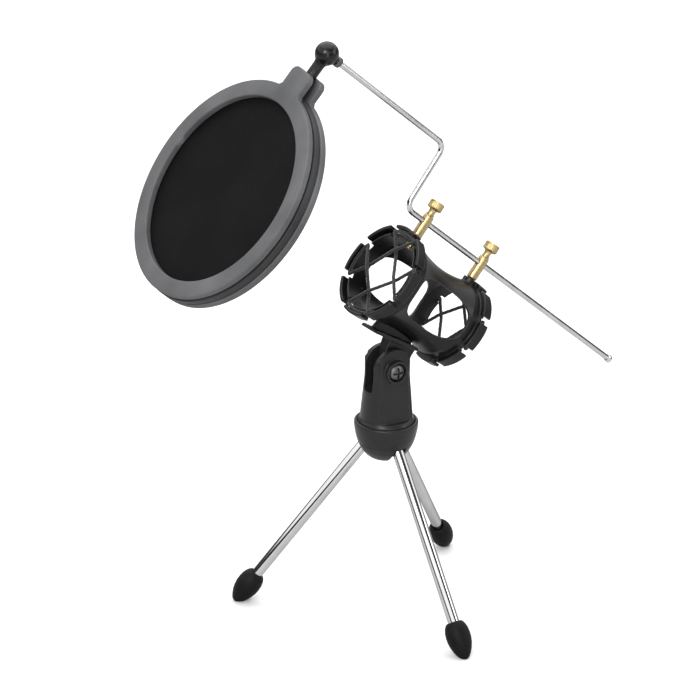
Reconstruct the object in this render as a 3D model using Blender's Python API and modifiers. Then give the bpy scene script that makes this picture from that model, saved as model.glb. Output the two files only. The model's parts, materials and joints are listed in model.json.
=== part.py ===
"""Desktop pop filter: a framed double mesh on a bent rod, an elastic cradle and a folding table stand.

Metres, +Z up.  X runs along the cradle's axis seen from above: the filter is at -X and the rod's free
end at +X.  The pivot screw lies along Y.  The stand's three feet rest on Z = 0.
"""
import math

import bmesh
import bpy
from mathutils import Matrix, Vector

MM = 0.001

# ---- stand --------------------------------------------------------------------------------------------
STAND_X = -9.24                # stand axis, so that the whole object is centred on the origin
STAND_Y = 3.33
LEG_AZIMUTHS = (150.5, 270.5, 30.5)
LEG_R = 3.0                     # chrome leg
LEG_PIN_RADIUS = 8.0            # leg hinge, from the stand axis
LEG_PIN_Z = 95.1
LEG_PIN_R = 1.2
FOOT_CIRCLE = 76.8              # centre of the rounded tip of each foot
FOOT_TIP_R = 2.7
FOOT_TIP_Z = 1.8
LEG_SOCKET = 5.0                # the leg ends this far above the tip's centre
HUB_R = 16.7
HUB_TOP = 104.4
HUB_BOTTOM = 83.8
SLOT_W = 6.8                    # leg slot
SLOT_TOP = 99.6
PIN_POCKET_R = 4.3              # round clearance for the leg's top as it folds

# ---- swivel base --------------------------------------------------------------------------------------
BASE_BOTTOM = 102.7
BASE_R_LOW = 13.8
BASE_R_HIGH = 11.7
FLAT_LOW = 10.5                 # distance of the two flats from the axis, at the bottom
FLAT_HIGH = 7.8                 # and at the pivot
EAR_R = 11.0
YOKE_SLOT = 7.6
YOKE_FLOOR = 122.0
BOSS_R = 6.3
BOSS_OUT = 10.2
PIVOT_Z = 133.5
PIVOT_R = 2.0
STUD_R = 3.2

# ---- cradle -------------------------------------------------------------------------------------------
TILT = 39.3                     # cradle axis above level, in degrees
RISE = 37.9                     # pivot to the cradle's axis
SHIFT = 8.5                     # pivot to the cradle's middle, along its axis
WALL_IN = 20.5
WALL_OUT = 22.2
BAND_NEAR = 20.2                # each ring's band, along the axis
BAND_FAR = 27.1
FINGER_FAR = 29.8
FINGER_OUT = 21.4
HOOK_NEAR = 25.1
HOOK_FAR = 31.2
HOOK_IN = 23.55
HOOK_OUT = 25.3
HOOKS = 8
HOOK_GAP = 4.0
RING_TAPER = 0.035              # the front ring is a little larger than the rear one
WAIST_OUT = 19.3
WAIST_IN = 17.3
WINDOW_X = 20.0
WINDOW_Z = 11.6
KNUCKLE_W = 7.0
KNUCKLE_R = 7.6
CORD_R = 0.8
CORD_WRAP = 22.5
CORD_X = 28.9
CORD_LIFT = 1.0
CHORD_OFFSET = 0.38

# ---- clamp posts and rod ------------------------------------------------------------------------------
POST_X = 22.8
POST_BASE = 24.5
POST_TOP = 37.6
POST_R = 2.75
POST_SHANK_R = 1.7
ROD_R = 1.5
ROD_Z = 33.7                    # rod above the cradle's axis
ROD_TAIL = 135.6
ROD_BEND = -38.5
ROD_STEP = 37.4
ROD_REACH = 91.6
ROD_ROLL = -2.1                 # the bent rod turned about its own long run, in degrees
BEND_R = 5.5

# ---- ball stem and filter -----------------------------------------------------------------------------
BALL_R = 6.0
STEM_R = 2.9
FILTER_REACH = 83.4             # ball to filter centre
FILTER_SWING = 10.2             # stem turned about the rod, in degrees
FILTER_NOD = 3.3                # filter face against the cradle's axis, in degrees
FILTER_TWIST = 1.8              # and turned about its stem
OPENING_R = 50.0
FRONT_R = 58.6
HOOP_R = 59.2
REAR_R = 59.6
FRAME_T = 3.6
HOOP_T = 3.4
GROOVE = 0.6
MESH_R = 53.4
MESH_T = 0.6
RABBET_R = 53.8
RABBET_T = 0.7
TAB_END = 70.5
TAB_W = 17.0

PARTS = bpy.data.collections.new("pop_filter")
CUTTERS = bpy.data.collections.new("cutters")


def clear_scene():
    for old in list(bpy.data.objects):
        bpy.data.objects.remove(old, do_unlink=True)
    bpy.context.scene.collection.children.link(PARTS)
    bpy.context.scene.collection.children.link(CUTTERS)


def material(name, colour, roughness, metallic=0.0):
    made = bpy.data.materials.new(name)
    made.use_nodes = True
    shader = made.node_tree.nodes["Principled BSDF"]
    shader.inputs["Base Color"].default_value = (*colour, 1.0)
    shader.inputs["Roughness"].default_value = roughness
    shader.inputs["Metallic"].default_value = metallic
    return made


def empty(name, matrix):
    made = bpy.data.objects.new(name, None)
    made.empty_display_size = 0.01
    made.matrix_world = matrix
    PARTS.objects.link(made)
    return made


def place(obj, parent, matrix=None):
    obj.parent = parent
    obj.matrix_local = matrix if matrix is not None else Matrix.Identity(4)


def as_part(name, mesh, parent, mat, matrix=None, angle=35.0):
    mesh.materials.clear()
    mesh.materials.append(mat)
    mesh.shade_smooth()
    mesh.set_sharp_from_angle(angle=math.radians(angle))
    obj = bpy.data.objects.new(name, mesh)
    PARTS.objects.link(obj)
    place(obj, parent, matrix)
    return obj


def as_cutter(name, mesh, parent, matrix=None):
    obj = bpy.data.objects.new(name, mesh)
    CUTTERS.objects.link(obj)
    obj.hide_render = True
    obj.display_type = "WIRE"
    place(obj, parent, matrix)
    return obj


def boolean(obj, other, operation="DIFFERENCE"):
    mod = obj.modifiers.new(other.name, "BOOLEAN")
    mod.operation = operation
    mod.object = other
    mod.solver = "EXACT"


def mesh_from(bm, name):
    mesh = bpy.data.meshes.new(name)
    bm.to_mesh(mesh)
    bm.free()
    return mesh


def cylinder(name, radius, low, high, steps=24, top_radius=None):
    """A cylinder or cone along Z from low to high."""
    bm = bmesh.new()
    bmesh.ops.create_cone(
        bm, cap_ends=True, segments=steps, radius1=radius * MM,
        radius2=(radius if top_radius is None else top_radius) * MM, depth=(high - low) * MM)
    bmesh.ops.translate(bm, verts=bm.verts, vec=(0, 0, (high + low) * MM / 2))
    return mesh_from(bm, name)


def box(name, low, high):
    bm = bmesh.new()
    bmesh.ops.create_cube(bm, size=1.0)
    size = [(h - l) * MM for l, h in zip(low, high)]
    bmesh.ops.scale(bm, verts=bm.verts, vec=size)
    bmesh.ops.translate(bm, verts=bm.verts, vec=[(h + l) * MM / 2 for l, h in zip(low, high)])
    return mesh_from(bm, name)


def outline_curve(name, points, thickness):
    """A flat outline in XY, extruded by thickness about Z = 0."""
    curve = bpy.data.curves.new(name, "CURVE")
    curve.dimensions = "2D"
    curve.fill_mode = "BOTH"
    curve.extrude = thickness * MM / 2
    spline = curve.splines.new("POLY")
    spline.points.add(len(points) - 1)
    for point, (x, y) in zip(spline.points, points):
        point.co = (x * MM, y * MM, 0, 1)
    spline.use_cyclic_u = True
    return curve


def curve_mesh(name, curve):
    """The closed mesh of a curve, with its caps welded on."""
    holder = bpy.data.objects.new(name, curve)
    PARTS.objects.link(holder)
    bpy.context.view_layer.update()
    mesh = bpy.data.meshes.new_from_object(holder.evaluated_get(bpy.context.evaluated_depsgraph_get()))
    bpy.data.objects.remove(holder, do_unlink=True)
    bm = bmesh.new()
    bm.from_mesh(mesh)
    bmesh.ops.remove_doubles(bm, verts=bm.verts, dist=1e-6)
    bmesh.ops.recalc_face_normals(bm, faces=bm.faces)
    bm.to_mesh(mesh)
    bm.free()
    mesh.name = name
    return mesh


def plate(name, points, thickness):
    return curve_mesh(name, outline_curve(name, points, thickness))


def turned(name, profile, steps, closed=False):
    """A profile of (radius, z), listed down its outer side, turned about Z."""
    mesh = bpy.data.meshes.new(name)
    count = len(profile)
    edges = [(k, k + 1) for k in range(count - 1)]
    if closed:
        edges.append((count - 1, 0))
    mesh.from_pydata([(r * MM, 0, z * MM) for r, z in profile], edges, [])
    holder = bpy.data.objects.new(name, mesh)
    PARTS.objects.link(holder)
    screw = holder.modifiers.new("turn", "SCREW")
    screw.steps = steps
    screw.render_steps = steps
    screw.use_merge_vertices = True
    screw.merge_threshold = 0.00001
    bpy.context.view_layer.update()
    made = bpy.data.meshes.new_from_object(holder.evaluated_get(bpy.context.evaluated_depsgraph_get()))
    bpy.data.objects.remove(holder, do_unlink=True)
    bm = bmesh.new()
    bm.from_mesh(made)
    bmesh.ops.remove_doubles(bm, verts=bm.verts, dist=1e-6)
    bm.to_mesh(made)
    bm.free()
    made.name = name
    return made


def arc(radius, start, end, count, centre=(0.0, 0.0)):
    found = []
    for k in range(count + 1):
        angle = math.radians(start + (end - start) * k / count)
        found.append((centre[0] + radius * math.cos(angle), centre[1] + radius * math.sin(angle)))
    return found


def filleted(points, radius, count):
    """A polyline with each inner corner replaced by an arc."""
    found = [Vector(points[0])]
    for before, corner, after in zip(points, points[1:], points[2:]):
        corner = Vector(corner)
        back = (Vector(before) - corner).normalized()
        ahead = (Vector(after) - corner).normalized()
        half = back.angle(ahead) / 2
        cut = radius / math.tan(half)
        centre = corner + (back + ahead).normalized() * radius / math.sin(half)
        start = corner + back * cut - centre
        finish = corner + ahead * cut - centre
        swing = start.angle(finish)
        for k in range(count + 1):
            share = k / count
            mixed = (math.sin((1 - share) * swing) * start + math.sin(share * swing) * finish)
            found.append(centre + mixed / math.sin(swing))
    found.append(Vector(points[-1]))
    return found


def wire(name, points, radius, cyclic=False, resolution=2):
    curve = bpy.data.curves.new(name, "CURVE")
    curve.dimensions = "3D"
    curve.fill_mode = "FULL"
    curve.bevel_depth = radius * MM
    curve.bevel_resolution = resolution
    curve.use_fill_caps = not cyclic
    spline = curve.splines.new("POLY")
    spline.points.add(len(points) - 1)
    for point, at in zip(spline.points, points):
        point.co = (*(Vector(at) * MM), 1)
    spline.use_cyclic_u = cyclic
    return curve_mesh(name, curve)


def along_y():
    return Matrix.Rotation(math.radians(90), 4, "X")


def along_x():
    return Matrix.Rotation(math.radians(90), 4, "Y")


def shifted(x, y, z):
    return Matrix.Translation((x * MM, y * MM, z * MM))


# ---- stand --------------------------------------------------------------------------------------------
def build_hub(stand, black):
    outer = [(15.2, HUB_TOP), (16.2, HUB_TOP), (HUB_R, HUB_TOP - 0.6), (HUB_R, HUB_TOP - 2.6)]
    outer += [(16.4, 99.4), (15.7, 95.8), (14.5, 92.0), (12.8, 88.7), (10.9, 86.2), (8.9, 84.5)]
    outer += [(7.5, HUB_BOTTOM), (0.0, HUB_BOTTOM)]
    inner = [(0.0, HUB_TOP - 3.8), (STUD_R + 0.3, HUB_TOP - 3.8), (STUD_R + 0.3, HUB_TOP - 2.0), (15.2, HUB_TOP - 2.0)]
    hub = as_part("tripod_hub", turned("tripod_hub", inner + outer, 32), stand, black)
    lean = leg_lean()
    side = (math.cos(lean), math.sin(lean))
    down = (math.sin(lean), -math.cos(lean))
    stop = (LEG_PIN_RADIUS + side[0] * 3.35, LEG_PIN_Z + side[1] * 3.35)
    top = (stop[0] - down[0] * 2.6, stop[1] - down[1] * 2.6)
    low = (stop[0] + down[0] * 20.0, stop[1] + down[1] * 20.0)
    outline = [(4.0, 80.0), (low[0], 80.0), low, top, (top[0] - 1.5, SLOT_TOP), (4.0, SLOT_TOP)]
    for k, azimuth in enumerate(LEG_AZIMUTHS):
        turn = Matrix.Rotation(math.radians(azimuth), 4, "Z")
        slot = as_cutter("leg_slot_%d" % (k + 1), plate("leg_slot", outline, SLOT_W), stand, turn @ along_y())
        boolean(hub, slot)
        pocket = as_cutter("pin_pocket_%d" % (k + 1),
                           cylinder("pin_pocket", PIN_POCKET_R, -SLOT_W / 2 + 0.01, SLOT_W / 2 - 0.01, 28), stand,
                           turn @ shifted(LEG_PIN_RADIUS, 0, LEG_PIN_Z) @ along_y())
        boolean(hub, pocket)
        hole = as_cutter("pin_hole_%d" % (k + 1), cylinder("pin_hole", LEG_PIN_R + 0.3, -5.6, 5.6, 16), stand,
                         turn @ shifted(LEG_PIN_RADIUS, 0, LEG_PIN_Z) @ along_y())
        boolean(hub, hole)
    return hub


def leg_lean():
    return math.atan2(FOOT_CIRCLE - LEG_PIN_RADIUS, LEG_PIN_Z - FOOT_TIP_Z)


def build_legs(stand, chrome, rubber, steel):
    reach = math.hypot(FOOT_CIRCLE - LEG_PIN_RADIUS, LEG_PIN_Z - FOOT_TIP_Z)
    foot = [(0.0, LEG_SOCKET - 0.3), (LEG_R + 0.3, LEG_SOCKET - 0.3), (LEG_R + 0.3, 17.2), (3.9, 17.3)]
    foot += [(4.7, 16.6), (5.6, 15.0), (6.2, 12.9), (6.45, 10.4), (6.35, 7.8), (5.8, 5.0), (4.9, 2.4)]
    foot += [(3.7, 0.2), (2.5, -1.5), (1.2, -2.5), (0.0, -FOOT_TIP_R)]
    for k, azimuth in enumerate(LEG_AZIMUTHS):
        turn = Matrix.Rotation(math.radians(azimuth), 4, "Z")
        swing = turn @ shifted(LEG_PIN_RADIUS, 0, LEG_PIN_Z) @ Matrix.Rotation(-leg_lean(), 4, "Y")
        hinge = empty("leg_hinge_%d" % (k + 1), Matrix.Identity(4))
        place(hinge, stand, swing)
        leg = as_part("leg_%d" % (k + 1), cylinder("leg", LEG_R, LEG_SOCKET - reach, 2.6, 20), hinge, chrome)
        bore = as_cutter("leg_bore_%d" % (k + 1), cylinder("leg_bore", LEG_PIN_R + 0.3, -4.0, 4.0, 16), hinge,
                         along_y())
        boolean(leg, bore)
        cap = as_part("foot_%d" % (k + 1), turned("foot", foot, 16), hinge, rubber, shifted(0, 0, -reach))
        floor = as_cutter("floor_%d" % (k + 1), box("floor", (-150, -150, -40), (150, 150, 0)), stand)
        boolean(cap, floor)
        pin = turn @ shifted(LEG_PIN_RADIUS, 0, LEG_PIN_Z) @ along_y()
        as_part("leg_pin_%d" % (k + 1), cylinder("leg_pin", LEG_PIN_R, -5.3, 5.3, 12), stand, steel, pin)


def build_swivel_base(swivel, black, steel):
    height = PIVOT_Z + EAR_R
    profile = [(STUD_R + 0.3, BASE_BOTTOM), (STUD_R + 0.3, 115.0), (0.0, 115.0)]
    outer = [(0.0, height + 4), (BASE_R_HIGH, height + 4), (BASE_R_HIGH, PIVOT_Z - 4)]
    outer += [(BASE_R_LOW, BASE_BOTTOM + 3.4), (14.4, BASE_BOTTOM + 2.6), (14.9, BASE_BOTTOM + 1.8)]
    outer += [(14.9, BASE_BOTTOM)]
    base = as_part("swivel_base", turned("swivel_base", outer + profile, 32), swivel, black)
    side = [(-16.0, 100.0), (16.0, 100.0), (16.0, PIVOT_Z - 6.0)]
    side += arc(EAR_R + 0.45, -10, 190, 21, (0.0, PIVOT_Z)) + [(-16.0, PIVOT_Z - 6.0)]
    ears = as_cutter("ear_shape", plate("ear_shape", side, 60.0), swivel, along_y())
    boolean(base, ears, "INTERSECT")
    level = BASE_BOTTOM + 3.6
    slope = (FLAT_HIGH - FLAT_LOW) / (PIVOT_Z - level)
    for name, sign in (("flat_front", -1), ("flat_rear", 1)):
        wedge = [(sign * FLAT_LOW, level), (sign * 30, level), (sign * 30, 170)]
        wedge += [(sign * (FLAT_LOW + slope * (170 - level)), 170)]
        flat = as_cutter(name, plate(name, wedge, 60.0), swivel,
                         Matrix.Rotation(math.radians(90), 4, "Z") @ along_y())
        boolean(base, flat)
    half = YOKE_SLOT / 2
    yoke = [(-half, 170.0), (-half, YOKE_FLOOR + 1.6), (-half + 0.8, YOKE_FLOOR + 0.4), (-half + 2.0, YOKE_FLOOR)]
    yoke += [(half - 2.0, YOKE_FLOOR), (half - 0.8, YOKE_FLOOR + 0.4), (half, YOKE_FLOOR + 1.6), (half, 170.0)]
    slot = as_cutter("yoke_slot", plate("yoke_slot", yoke, 60.0), swivel,
                     Matrix.Rotation(math.radians(90), 4, "Z") @ along_y())
    pivot = shifted(0, 0, PIVOT_Z) @ along_y()
    boss = as_cutter("pivot_boss", cylinder("pivot_boss", BOSS_R, -BOSS_OUT, BOSS_OUT, 32), swivel, pivot)
    boolean(base, boss, "UNION")
    boolean(base, slot)
    for name, radius, low, high, steps in (
            ("head_recess", 4.9, 7.6, 20.0, 28), ("nut_recess", 4.5, -20.0, -7.2, 6),
            ("pivot_hole", PIVOT_R + 0.3, -30.0, 30.0, 20)):
        cutter = as_cutter(name, cylinder(name, radius, low, high, steps), swivel, pivot)
        boolean(base, cutter)

    stud = [(0.0, 114.6), (2.6, 114.6), (STUD_R, 114.0), (STUD_R, 101.0), (0.0, 101.0)]
    as_part("pan_stud", turned("pan_stud", stud, 20), swivel, steel)
    return base


def build_pivot_screw(swivel, zinc):
    """A pan-head screw from the front ear to a nut behind the rear ear."""
    pivot = shifted(0, 0, PIVOT_Z) @ along_y()
    profile = [(0.0, 10.9), (1.6, 10.75), (3.0, 10.3), (4.0, 9.6), (4.5, 8.8), (4.5, 7.9)]
    profile += [(PIVOT_R, 7.9), (PIVOT_R, -10.2), (PIVOT_R - 0.5, -10.6), (0.0, -10.6)]
    screw = as_part("pivot_screw", turned("pivot_screw", profile, 20), swivel, zinc, pivot)
    arm = [(0.45, 0.45), (2.5, 0.45), (2.5, -0.45), (0.45, -0.45)]
    cross = []
    for k in range(4):
        turn = Matrix.Rotation(-k * math.pi / 2, 2)
        cross += [tuple(turn @ Vector(p)) for p in arm[:3]]
    cutter = as_cutter("cross_recess", plate("cross_recess", cross, 3.0), swivel, pivot @ shifted(0, 0, 10.8))
    boolean(screw, cutter)
    nut = as_part("pivot_nut", cylinder("pivot_nut", 4.15, -9.7, -7.5, 6), swivel, zinc, pivot)
    hole = as_cutter("pivot_nut_hole", cylinder("pivot_nut_hole", PIVOT_R + 0.3, -20, 0, 20), swivel, pivot)
    boolean(nut, hole)


# ---- cradle -------------------------------------------------------------------------------------------
def waist(radius, edge, count=4):
    """The hourglass between the bands, from +BAND_NEAR to -BAND_NEAR."""
    found = []
    for k in range(1, 2 * count):
        x = BAND_NEAR * (1 - k / count)
        share = abs(x) / BAND_NEAR
        found.append((radius + (edge - radius) * share ** 2, x))
    return found


def tapered(profile):
    return [(r * (1 - RING_TAPER * x / CORD_X), x) for r, x in profile]


def cradle_profile():
    outer = [(HOOK_IN, HOOK_FAR), (HOOK_OUT, HOOK_FAR), (HOOK_OUT, HOOK_NEAR), (WALL_OUT, HOOK_NEAR)]
    outer += [(WALL_OUT, BAND_NEAR)]
    inner = [(WALL_IN, BAND_NEAR), (WALL_IN, FINGER_FAR), (FINGER_OUT, FINGER_FAR), (FINGER_OUT, BAND_FAR)]
    inner += [(HOOK_IN, BAND_FAR)]
    profile = outer + waist(WAIST_OUT, WALL_OUT)
    profile += [(r, -x) for r, x in reversed(outer)]
    profile += [(r, -x) for r, x in reversed(inner)]
    profile += [(r, -x) for r, x in waist(WAIST_IN, WALL_IN)]
    return tapered(profile + inner)


def hook_slots(name, sign):
    """Eight radial slots that part a ring's rim into hooks."""
    outline = [(18.0, BAND_FAR), (18.0, 36.0), (30.0, 36.0), (30.0, HOOK_NEAR - 0.3)]
    outline += [(WALL_OUT + 0.1, HOOK_NEAR - 0.3), (WALL_OUT + 0.1, BAND_FAR)]
    one = plate(name, [(r, sign * x) for r, x in outline], HOOK_GAP)
    bm = bmesh.new()
    for k in range(HOOKS):
        start = len(bm.verts)
        bm.from_mesh(one)
        bm.verts.ensure_lookup_table()
        turn = Matrix.Rotation(math.radians(360 / HOOKS * (k + 0.5)), 4, "Z") @ along_y()
        bmesh.ops.transform(bm, matrix=turn, verts=bm.verts[start:])
    return mesh_from(bm, name)


def window_outline():
    found = []
    for k in range(28):
        angle = 2 * math.pi * k / 28
        c = math.cos(angle)
        s = math.sin(angle)
        found.append((WINDOW_X * math.copysign(abs(c) ** 0.55, c), WINDOW_Z * math.copysign(abs(s) ** 0.7, s)))
    return found


def build_cradle(cradle, black):
    body = as_part("shock_mount_frame", turned("shock_mount_frame", cradle_profile(), 40, True), cradle, black,
                   along_x())
    window = as_cutter("side_windows", plate("side_windows", window_outline(), 80.0), cradle, along_y())
    boolean(body, window)
    for name, sign in (("front_slots", -1), ("rear_slots", 1)):
        slots = as_cutter(name, hook_slots(name, sign), cradle, along_x())
        boolean(body, slots)

    web = [(-13.0, -19.0), (-14.0, -26.0), (12.0, -21.8), (12.0, -19.0)]
    keel = as_cutter("keel_web", plate("keel_web", web, 3.2), cradle, along_y())
    boolean(body, keel, "UNION")
    flange = [(-15.6, -27.6), (-15.2, -25.7), (13.6, -21.2), (14.0, -22.9)]
    rail = as_cutter("keel_flange", plate("keel_flange", flange, 14.4), cradle, along_y())
    boolean(body, rail, "UNION")
    knuckle = [(-3.0, -25.0), (15.0, -22.3)] + arc(KNUCKLE_R, 12, -190, 20, (SHIFT, -RISE))
    lug = as_cutter("knuckle", plate("knuckle", knuckle, KNUCKLE_W), cradle, along_y())
    boolean(body, lug, "UNION")
    hole = as_cutter("knuckle_hole", cylinder("knuckle_hole", PIVOT_R + 0.3, -30, 30, 20), cradle,
                     shifted(SHIFT, 0, -RISE) @ along_y())
    boolean(body, hole)

    for k, sign in enumerate((-1, 1)):
        at = shifted(sign * POST_X, 0, 0)
        relief = as_cutter("post_relief_%d" % (k + 1), cylinder("post_relief", POST_R + 0.45, 24.2, 32, 24),
                           cradle, at)
        pad = as_cutter("post_pad_%d" % (k + 1), cylinder("post_pad", 3.9, 21.2, 24.2, 24), cradle, at)
        bore = as_cutter("post_bore_%d" % (k + 1), cylinder("post_bore", POST_SHANK_R + 0.3, 10, 30, 16),
                         cradle, at)
        seat = as_cutter("nut_seat_%d" % (k + 1), cylinder("nut_seat", 3.5, 15, 20.8, 24), cradle, at)
        boolean(body, pad, "UNION")
        boolean(body, relief)
        boolean(body, bore)
        boolean(body, seat)
    return body


def ring_point(angle, x):
    """A point of the elastic's groove: angle in degrees from the top, x along the cradle's axis."""
    turn = math.radians(angle)
    wrap = CORD_WRAP * (1 - RING_TAPER * x / CORD_X)
    return Vector((x, math.sin(turn) * wrap, math.cos(turn) * wrap))


def cord_route(sign):
    """One closed elastic loop: four chords that weave over and under, each joined round a hook."""
    start = -180.0 / HOOKS
    found = []
    for k in range(4):
        first = ring_point(start + 90.0 * k, sign * CORD_X)
        last = ring_point(start + 90.0 * k + 135.0, sign * CORD_X)
        for share in (0.0, 0.07, 0.18, 0.31, 0.42, 0.5, 0.58, 0.69, 0.82, 0.93, 1.0):
            point = first.lerp(last, share)
            lift = min(1.0, share / 0.31, (1 - share) / 0.31) * max(-1.0, min(1.0, (0.5 - share) / 0.12))
            point.x = sign * (CORD_X + CORD_LIFT * lift)
            found.append(point)
        for turn in (6, 14, 22.5, 31, 39):
            found.append(ring_point(start + 90.0 * k + 135.0 - turn, sign * CORD_X))
    return found


def build_cords(cradle, elastic):
    for name, sign in (("elastic_front", -1), ("elastic_rear", 1)):
        as_part(name, wire(name, cord_route(sign), CORD_R, True), cradle, elastic)


# ---- clamp posts and rod ------------------------------------------------------------------------------
def build_posts(cradle, brass):
    for k, sign in enumerate((-1, 1)):
        tag = "_%d" % (k + 1)
        at = shifted(sign * POST_X, 0, 0)
        profile = [(0.0, POST_TOP), (POST_R - 0.4, POST_TOP), (POST_R, POST_TOP - 0.4), (POST_R, POST_BASE + 0.5)]
        profile += [(POST_R - 0.3, POST_BASE), (POST_SHANK_R, POST_BASE), (POST_SHANK_R, 17.6), (0.0, 17.6)]
        post = as_part("clamp_post" + tag, turned("clamp_post", profile, 16), cradle, brass, at)
        rod_hole = as_cutter("rod_hole" + tag, cylinder("rod_hole", ROD_R + 0.3, -10, 10, 16), cradle,
                             at @ shifted(0, 0, ROD_Z) @ along_x())
        thread = as_cutter("thread_hole" + tag, cylinder("thread_hole", 1.8, ROD_Z, 50, 16), cradle, at)
        boolean(post, rod_hole)
        boolean(post, thread)
        nut = as_part("post_nut" + tag, cylinder("post_nut", 3.15, 18.3, 20.5, 6), cradle, brass, at)
        nut_hole = as_cutter("nut_hole" + tag, cylinder("nut_hole", POST_SHANK_R + 0.3, 10, 30, 16), cradle, at)
        boolean(nut, nut_hole)

        head = [(0.0, 45.8), (3.6, 45.8), (4.0, 45.4), (4.0, 42.0), (3.5, 41.5), (2.3, 41.2), (1.9, 40.6)]
        head += [(1.9, 38.5), (2.4, 38.3), (2.4, 37.95), (1.5, 37.95), (1.5, 35.5), (0.0, 35.5)]
        screw = as_part("thumbscrew" + tag, turned("thumbscrew", head, 16), cradle, brass, at)
        notch = as_cutter("head_slot" + tag, box("head_slot", (-0.8, -6, 43.6), (0.8, 6, 50)), cradle,
                          at @ Matrix.Rotation(math.radians(55), 4, "Z"))
        boolean(screw, notch)


def rod_roll():
    return shifted(0, 0, ROD_Z) @ Matrix.Rotation(math.radians(ROD_ROLL), 4, "X") @ shifted(0, 0, -ROD_Z)


def build_rod(slider, steel, dark):
    turn = ROD_BEND
    high = ROD_Z + ROD_STEP
    ball = ROD_BEND - ROD_REACH
    route = [(ROD_TAIL - 0.6, 0, ROD_Z), (turn, 0, ROD_Z), (turn, 0, high), (ball - 1.0, 0, high)]
    as_part("boom_rod", wire("boom_rod", filleted(route, BEND_R, 8), ROD_R, False, 3), slider, steel)
    tip = [(0.0, ROD_TAIL), (1.9, ROD_TAIL), (2.2, ROD_TAIL - 0.4), (2.0, ROD_TAIL - 3.0), (1.8, ROD_TAIL - 3.0)]
    tip += [(1.8, ROD_TAIL - 0.3), (0.0, ROD_TAIL - 0.3)]
    as_part("rod_end_stop", turned("rod_end_stop", tip, 16), slider, steel, shifted(0, 0, ROD_Z) @ along_x())
    collar = [(ROD_R + 0.3, 9.6), (2.2, 9.6), (2.7, 9.2), (2.7, 7.0), (2.4, 6.6), (ROD_R + 0.3, 6.6)]
    as_part("rod_collar", turned("rod_collar", collar, 16, True), slider, dark,
            shifted(ball, 0, high) @ along_x())


# ---- ball stem and filter -----------------------------------------------------------------------------
def filter_frame():
    """Columns: towards the ball, across, and out of the filter's front face, in the cradle's axes."""
    swing = math.radians(FILTER_SWING)
    front = Vector((-1.0, -math.tan(math.radians(FILTER_TWIST)), -math.tan(math.radians(FILTER_NOD)))).normalized()
    stem = Vector((0, -math.sin(swing), math.cos(swing)))
    stem = (stem - front * stem.dot(front)).normalized()
    across = front.cross(stem)
    return Matrix((stem, across, front)).transposed().to_4x4()


def build_ball(ball, gloss):
    sphere = bmesh.new()
    bmesh.ops.create_uvsphere(sphere, u_segments=20, v_segments=12, radius=BALL_R * MM)
    knob = as_part("ball_stem", mesh_from(sphere, "ball_stem"), ball, gloss)
    aim = filter_frame()
    profile = [(0.0, 0.0), (STEM_R, 0.0), (STEM_R, -12.9), (STEM_R - 0.35, -13.2), (STEM_R - 0.35, -23.2)]
    profile += [(STEM_R - 0.8, -23.7), (0.0, -23.7)]
    stem = as_cutter("stem_shape", turned("stem_shape", profile, 20), ball, aim @ along_x())
    boolean(knob, stem, "UNION")
    bore = as_cutter("rod_socket", cylinder("rod_socket", ROD_R + 0.3, -1.4, 12, 16), ball, along_x())
    boolean(knob, bore)


def frame_outline(radius, count=48):
    """A round frame with a square-shouldered tab towards +X."""
    half = TAB_W / 2
    root = math.degrees(math.asin((half + 1.5) / radius))
    found = [(TAB_END, half - 4.0)] + arc(4.0, 0, 90, 4, (TAB_END - 4.0, half - 4.0))[1:]
    found += [(math.cos(math.radians(root)) * radius + 1.6, half)]
    found += arc(radius, root, 360 - root, count)
    found += [(x, -y) for x, y in reversed(found[:6])]
    return found


def build_frame_ring(name, radius, low, high, rabbet, filter_body, mat, steps=46):
    ring = as_part(name, plate(name, frame_outline(radius, steps), high - low), filter_body, mat,
                   shifted(0, 0, (low + high) / 2))
    opening = as_cutter(name + "_opening", cylinder(name, OPENING_R, -30, 30, 56), filter_body)
    step = as_cutter(name + "_rabbet", cylinder(name, RABBET_R, rabbet[0], rabbet[1], 56), filter_body)
    channel = as_cutter(name + "_channel", cylinder(name, STEM_R - 0.05, 59.9, 80.0, 20), filter_body, along_x())
    boolean(ring, opening)
    boolean(ring, step)
    boolean(ring, channel)
    ring.modifiers.new("soft_edge", "BEVEL")
    bevel = ring.modifiers["soft_edge"]
    bevel.width = 0.45 * MM
    bevel.segments = 1
    bevel.limit_method = "ANGLE"
    bevel.angle_limit = math.radians(60)
    bevel.use_clamp_overlap = True
    return ring


def build_filter(filter_body, grey, mesh_black):
    half = HOOP_T / 2
    inner = half + GROOVE
    outer = inner + FRAME_T
    build_frame_ring("filter_front_ring", FRONT_R, inner, outer, (-10, inner + RABBET_T), filter_body, grey)
    build_frame_ring("filter_rear_ring", REAR_R, -outer, -inner, (-inner - RABBET_T, 10), filter_body, grey)
    hoop = [(50.6, half), (HOOP_R - 0.6, half), (HOOP_R, half - 0.6), (HOOP_R, 0.6 - half)]
    hoop += [(HOOP_R - 0.6, -half), (50.6, -half)]
    as_part("spacer_hoop", turned("spacer_hoop", hoop, 56, True), filter_body, grey)
    low = half + 0.35
    as_part("front_mesh", cylinder("front_mesh", MESH_R, low, low + MESH_T, 48), filter_body, mesh_black)
    as_part("rear_mesh", cylinder("rear_mesh", MESH_R, -low - MESH_T, -low, 48), filter_body, mesh_black)


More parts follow.
